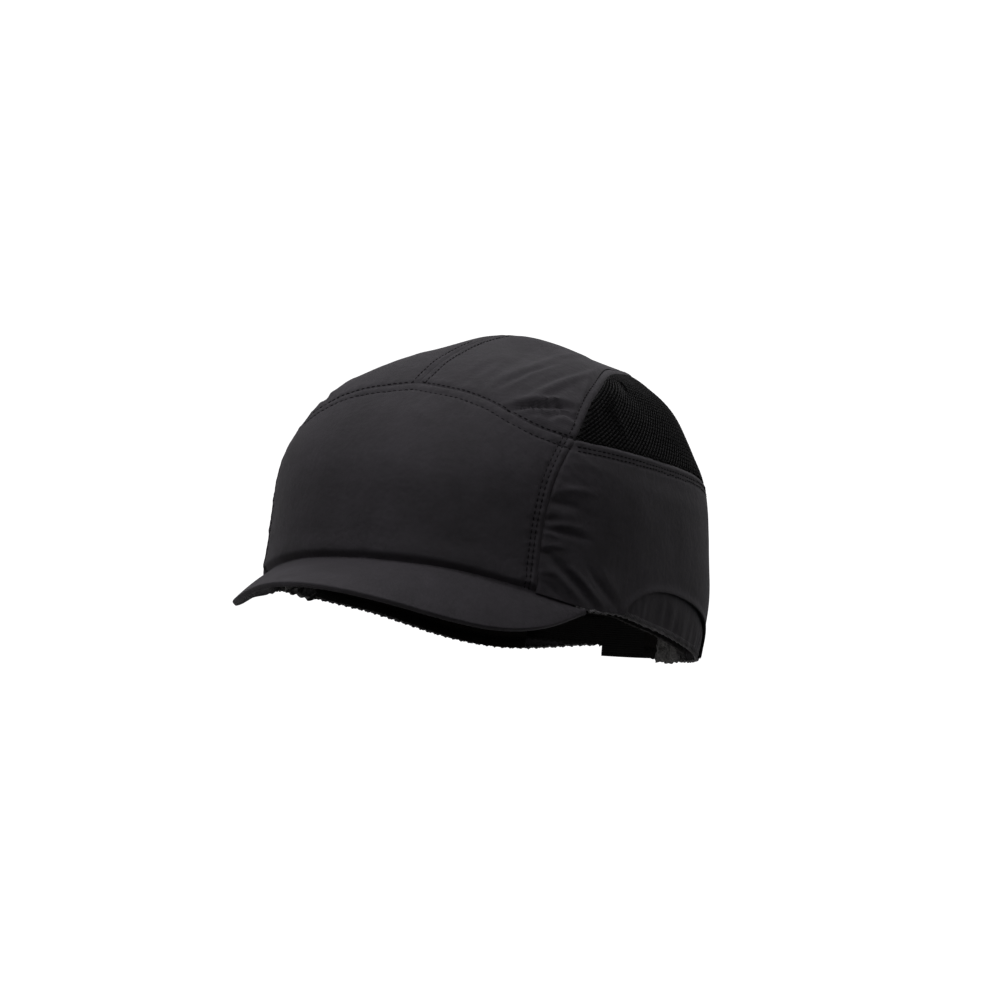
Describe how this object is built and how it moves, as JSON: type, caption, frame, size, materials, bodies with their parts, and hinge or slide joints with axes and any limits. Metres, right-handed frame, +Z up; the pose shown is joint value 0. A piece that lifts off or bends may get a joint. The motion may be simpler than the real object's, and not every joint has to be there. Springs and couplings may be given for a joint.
{
  "type": "bump cap",
  "caption": "Baseball-style bump cap: a fabric cap with a short peak and mesh sides over a vented plastic shell with foam pads and a rear size strap.",
  "frame": {"origin": "centre of the head opening, level with the hem at the ears", "axes": "+Z up as worn on a level head, +Y to the back of the head, +X to the wearer's left; the peak points along -Y"},
  "size_m": [0.1828, 0.2754, 0.1546],
  "materials": {
    "twill": "matte charcoal-black twill",
    "mesh": "black warp-knit spacer mesh",
    "webbing": "matte black woven tape, elastic or hook-and-loop",
    "abs": "moulded, fine matte texture",
    "foam": "closed-cell EVA foam, matte",
    "lining": "grey brushed terry over thin foam",
    "label": "plain woven satin, blank"
  },
  "bodies": {
    "cap": {"front_panel": "twill", "crown_panel_left": "twill", "crown_panel_right": "twill", "side_panel_left": "twill", "side_panel_right": "twill", "mesh_panel_left": "mesh", "mesh_panel_right": "mesh", "ear_gusset_left": "twill", "ear_gusset_right": "twill", "gusset_elastic_left": "webbing", "gusset_elastic_right": "webbing", "hem_binding_left": "twill", "hem_binding_right": "twill", "crown_seam_tape": "webbing", "peak_top_cover": "twill", "peak_board": "abs", "peak_under_cover": "twill", "abs_shell": "abs", "foam_pad_front": "foam", "foam_pad_left": "foam", "foam_pad_right": "foam", "foam_pad_rear": "foam", "foam_pad_crown": "foam", "sweatband": "lining", "loop_strap": "webbing", "care_label": "label"},
    "adjuster": {"hook_strap": "webbing", "hook_patch": "webbing"}
  },
  "joints": [
    {"name": "strap_adjust", "type": "hinge", "parent": "cap", "child": "adjuster", "pos_m": [0, 0.0265, -0.00401], "axis": [0, 0.1495, 0.9888], "range_deg": [-12, 15]}
  ]
}
